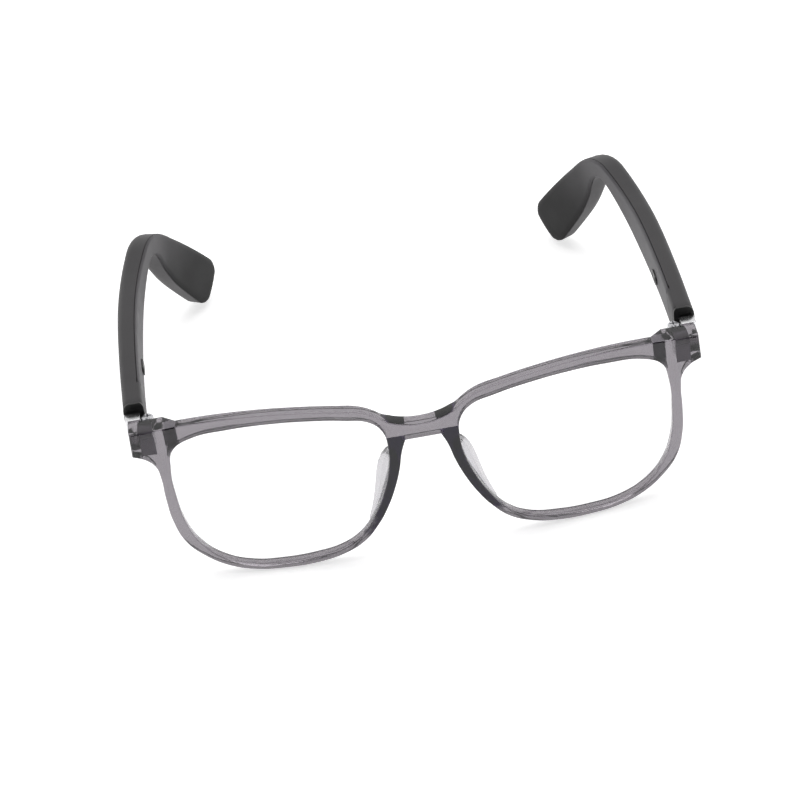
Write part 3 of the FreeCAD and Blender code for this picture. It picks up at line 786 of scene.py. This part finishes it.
def layBox(name, places, span, slanted=False):
    # span gives the box's inner, outer, lower and upper limits at a distance
    clearSelection()
    bpy.ops.mesh.primitive_cube_add(size=1.0)
    piece = bpy.context.object
    piece.name = name
    first, last = places[0], places[-1]
    reshape(piece, lambda co: Vector((co.x, first + (co.y + 0.5) * (last - first), co.z)))
    sliceAcross(piece, places[1:-1], 1)

    def lay(co):
        low, high, bottom, top = span(co.y)
        upward = top if co.z > 0 else bottom
        atFront = slanted and co.y < first + 0.01
        distance = templeSlant(upward) if atFront else co.y
        return alongTemple(distance, high if co.x > 0 else low, upward)
    reshape(piece, lay)
    outwardNormals(piece)
    return piece


def templeSlant(upward):      # the inner cover's slanted front edge
    return temple["slantFoot"] + temple["slantRise"] * upward


def seamCutter(name, gap):
    def coverSpan(distance):
        half = stationValue(distance, 2) / 2
        tall = stationValue(distance, 3) / 2 + 3
        return -half - 3, -half + temple["coverDepth"] - gap, -tall, tall
    beyond = tipEnd + 2
    places = [temple["slantFoot"]] + slices(12.5, beyond, temple["ringStep"]) + [beyond]
    return layBox(name, places, coverSpan, slanted=True)


def cavityCutter():
    def hollow(distance):
        half = stationValue(distance, 2) / 2
        tall = stationValue(distance, 3) / 2 - temple["wall"] - 0.3
        return -half + temple["coverDepth"] - 0.02, half - temple["wall"], -tall, tall
    places = [0.3] + slices(3.0, temple["cavityEnd"], 4.0) + [temple["cavityEnd"]]
    return layBox("cavity", places, hollow)


def buildTemples():
    shell = layBlank("templeShellLeft")
    cover = copyOf(shell, "templeCoverLeft")
    seam = seamCutter("seam", 0.0)
    coverSeam = seamCutter("coverSeam", temple["seamGap"])
    cavity = cavityCutter()
    cutAway(shell, seam)
    cutAway(shell, cavity)
    cutAway(cover, coverSeam, "INTERSECT")
    for cutter in (seam, coverSeam, cavity):
        remove(cutter)
    for piece in (shell, cover):
        softenEdges(piece, temple["edgeSoftness"], angle=50)
        toMetres(piece)
    shellRight = mirrored(shell, "templeShellRight")
    coverRight = mirrored(cover, "templeCoverRight")
    for piece, body, node in ((shell, "temple_left", "temple_shell_left"),
                              (shellRight, "temple_right", "temple_shell_right")):
        smooth(piece, 30)
        hand(piece, body, "shell_charcoal", finishes["shell"], node)
    for piece, body, node in ((cover, "temple_left", "temple_cover_left"),
                              (coverRight, "temple_right", "temple_cover_right")):
        smooth(piece, 30)
        hand(piece, body, "cover_grey", finishes["cover"], node)


buildTemples()
print("temples built")


# nose pads: crescent wings behind the nasal rims

padRings = [(7.9, 31.8, 0.8, 0.9), (8.2, 28.5, 1.8, 3.2), (9.2, 24.5, 2.1, 4.3),
            (10.5, 20.5, 1.8, 4.4), (12.1, 16.6, 1.3, 3.8), (13.9, 12.8, 0.9, 2.6),
            (16.2, 9.4, 0.5, 0.9)]


def padOutline(x, half, reach):
    start = wrapY(x) + front["rimDepth"] + 0.05
    return [(x - half, start), (x - half * 0.5, start + reach * 0.4),
            (x - half * 0.1, start + reach * 0.8), (x + half * 0.7, start + reach * 1.12),
            (x + half * 1.5, start + reach * 1.05), (x + half * 1.65, start + reach * 0.7),
            (x + half * 1.25, start + reach * 0.3), (x + half * 1.1, start)]


def buildNosePads():
    sides = 8
    clearSelection()
    bpy.ops.mesh.primitive_cylinder_add(vertices=sides, radius=1.0, depth=len(padRings) - 1)
    piece = bpy.context.object
    piece.name = "nosePadLeft"
    middle = (len(padRings) - 1) / 2
    sliceAcross(piece, [index - middle for index in range(1, len(padRings) - 1)], 2)

    def lay(co):
        x, z, half, reach = padRings[round(co.z + middle)]
        turn = math.atan2(co.x, co.y) / (2 * math.pi) * sides
        px, py = padOutline(x, half, reach)[round(turn) % sides]
        return Vector((px, py + planFront, z))
    reshape(piece, lay)
    outwardNormals(piece)
    rounding = piece.modifiers.new("rounding", "SUBSURF")
    rounding.levels = 3
    rounding.render_levels = 3
    applyModifiers(piece)
    toMetres(piece)
    right = mirrored(piece, "nosePadRight")
    for pad, node in ((piece, "nose_pad_left"), (right, "nose_pad_right")):
        smooth(pad, 60)
        hand(pad, "front", "pad_clear", finishes["pad"], node)


buildNosePads()
print("nose pads built")


# metal and electronic pieces keep their CAD shapes, with eased edges

cadFinishes = {
    "hinge_screws": ("screw", 0.06),
    "hinge_base": ("sunkNickelPaintedShade", 0.12),
    "hinge_leaf": ("nickel", 0.14),
    "end_cap": ("cap", 0.12),
    "charge_port": ("port", 0.2),
    "charge_contacts": ("gold", 0.08),
    "circuit_board": ("board", 0.0),
    "touch_sensor": ("film", 0.0),
    "battery": ("foil", 0.0),
    "speaker": ("speaker", 0.0),
    "speaker_mesh": ("mesh", 0.0),
    "microphone": ("can", 0.0),
    "flex_cable": ("flex", 0.0),
}


def finishCadNodes():
    for name, node in nodes.items():
        stem = name.rsplit("_", 1)[0] if name.endswith(("_left", "_right")) else name
        if stem not in cadFinishes:
            continue
        finish, edge = cadFinishes[stem]
        node.data.materials.clear()
        node.data.materials.append(finishes[finish])
        if edge:
            weld = node.modifiers.new("weld", "WELD")
            weld.merge_threshold = 0.000002
            bevel = node.modifiers.new("eased edges", "BEVEL")
            bevel.width = edge * mm
            bevel.segments = 2
            bevel.limit_method = "ANGLE"
            bevel.angle_limit = math.radians(40)


finishCadNodes()
print("carried-over pieces finished")


# floor, light and camera

studio = {
    "floorSize": 3.0,
    "floorGlow": 0.58,                  # a lit table keeps the shadows faint
    "world": 0.88,
    "darkSide": (0.0, -0.85, 0.5),      # the unlit side of the studio gives the plastic its edges
    "darkSpread": (0.35, 0.75),
    "darkTone": (0.04, 0.04, 0.045),
    "cameraTarget": (-0.00429, -0.07216, 0.04738),
    "azimuth": -1.523,
    "elevation": 35.0,
    "roll": -9.122,
    "distance": 0.7,
    "lens": 127.7,
}


def buildFloor():
    clearSelection()
    bpy.ops.mesh.primitive_plane_add(size=studio["floorSize"], location=(0, 0, -0.0004))
    floor = bpy.context.object
    floor.name = "floor"
    material = grainedMaterial("paleFloor", (0.9, 0.9, 0.9), mottle=0.02, coarse=4.0,
                               rough=0.8, depth=0.02, Emission_Color=(1, 1, 1, 1),
                               Emission_Strength=studio["floorGlow"])
    floor.data.materials.append(material)


def areaLight(name, place, size, power, aim=(0, 0, 0.02)):
    light = bpy.data.lights.new(name, "AREA")
    light.shape = "RECTANGLE"
    light.size, light.size_y = size
    light.energy = power
    lamp = bpy.data.objects.new(name, light)
    bpy.context.collection.objects.link(lamp)
    lamp.location = place
    lamp.rotation_euler = (Vector(aim) - Vector(place)).to_track_quat("-Z", "Y").to_euler()


def buildLights():
    world = bpy.data.worlds.new("studio")
    bpy.context.scene.world = world
    world.use_nodes = True
    tree = world.node_tree
    background = tree.nodes["Background"]
    background.inputs["Strength"].default_value = studio["world"]
    place = addNode(tree, "ShaderNodeTexCoord")
    towards = addNode(tree, "ShaderNodeVectorMath", operation="DOT_PRODUCT")
    towards.inputs[1].default_value = Vector(studio["darkSide"]).normalized()
    tree.links.new(place.outputs["Generated"], towards.inputs[0])
    dark = fadeBetween(tree, towards.outputs["Value"], *studio["darkSpread"])
    mix = addNode(tree, "ShaderNodeMix", data_type="RGBA")
    mix.inputs["A"].default_value = (1, 1, 1, 1)
    mix.inputs["B"].default_value = (*studio["darkTone"], 1)
    tree.links.new(dark, mix.inputs["Factor"])
    tree.links.new(mix.outputs["Result"], background.inputs["Color"])
    areaLight("softTop", (0.1, 0.1, 1.4), (1.2, 1.2), 6)


def buildCamera():
    azimuth, elevation, roll = (math.radians(studio[k]) for k in ("azimuth", "elevation", "roll"))
    back = Vector((math.sin(azimuth) * math.cos(elevation),
                   -math.cos(azimuth) * math.cos(elevation), math.sin(elevation)))
    right = Vector((math.cos(azimuth), math.sin(azimuth), 0))
    up = back.cross(right)
    across = right * math.cos(roll) + up * math.sin(roll)
    upward = up * math.cos(roll) - right * math.sin(roll)
    camera = bpy.data.objects.new("camera", bpy.data.cameras.new("camera"))
    bpy.context.collection.objects.link(camera)
    place = Vector(studio["cameraTarget"]) + back * studio["distance"]
    turn = Matrix((across, upward, back)).transposed().to_4x4()
    camera.matrix_world = Matrix.Translation(place) @ turn
    camera.data.lens = studio["lens"]
    camera.data.sensor_width = 36.0
    camera.data.clip_start = 0.01
    bpy.context.scene.camera = camera


buildFloor()
buildLights()
buildCamera()
bpy.context.scene.view_settings.view_transform = "Standard"
print("studio ready")
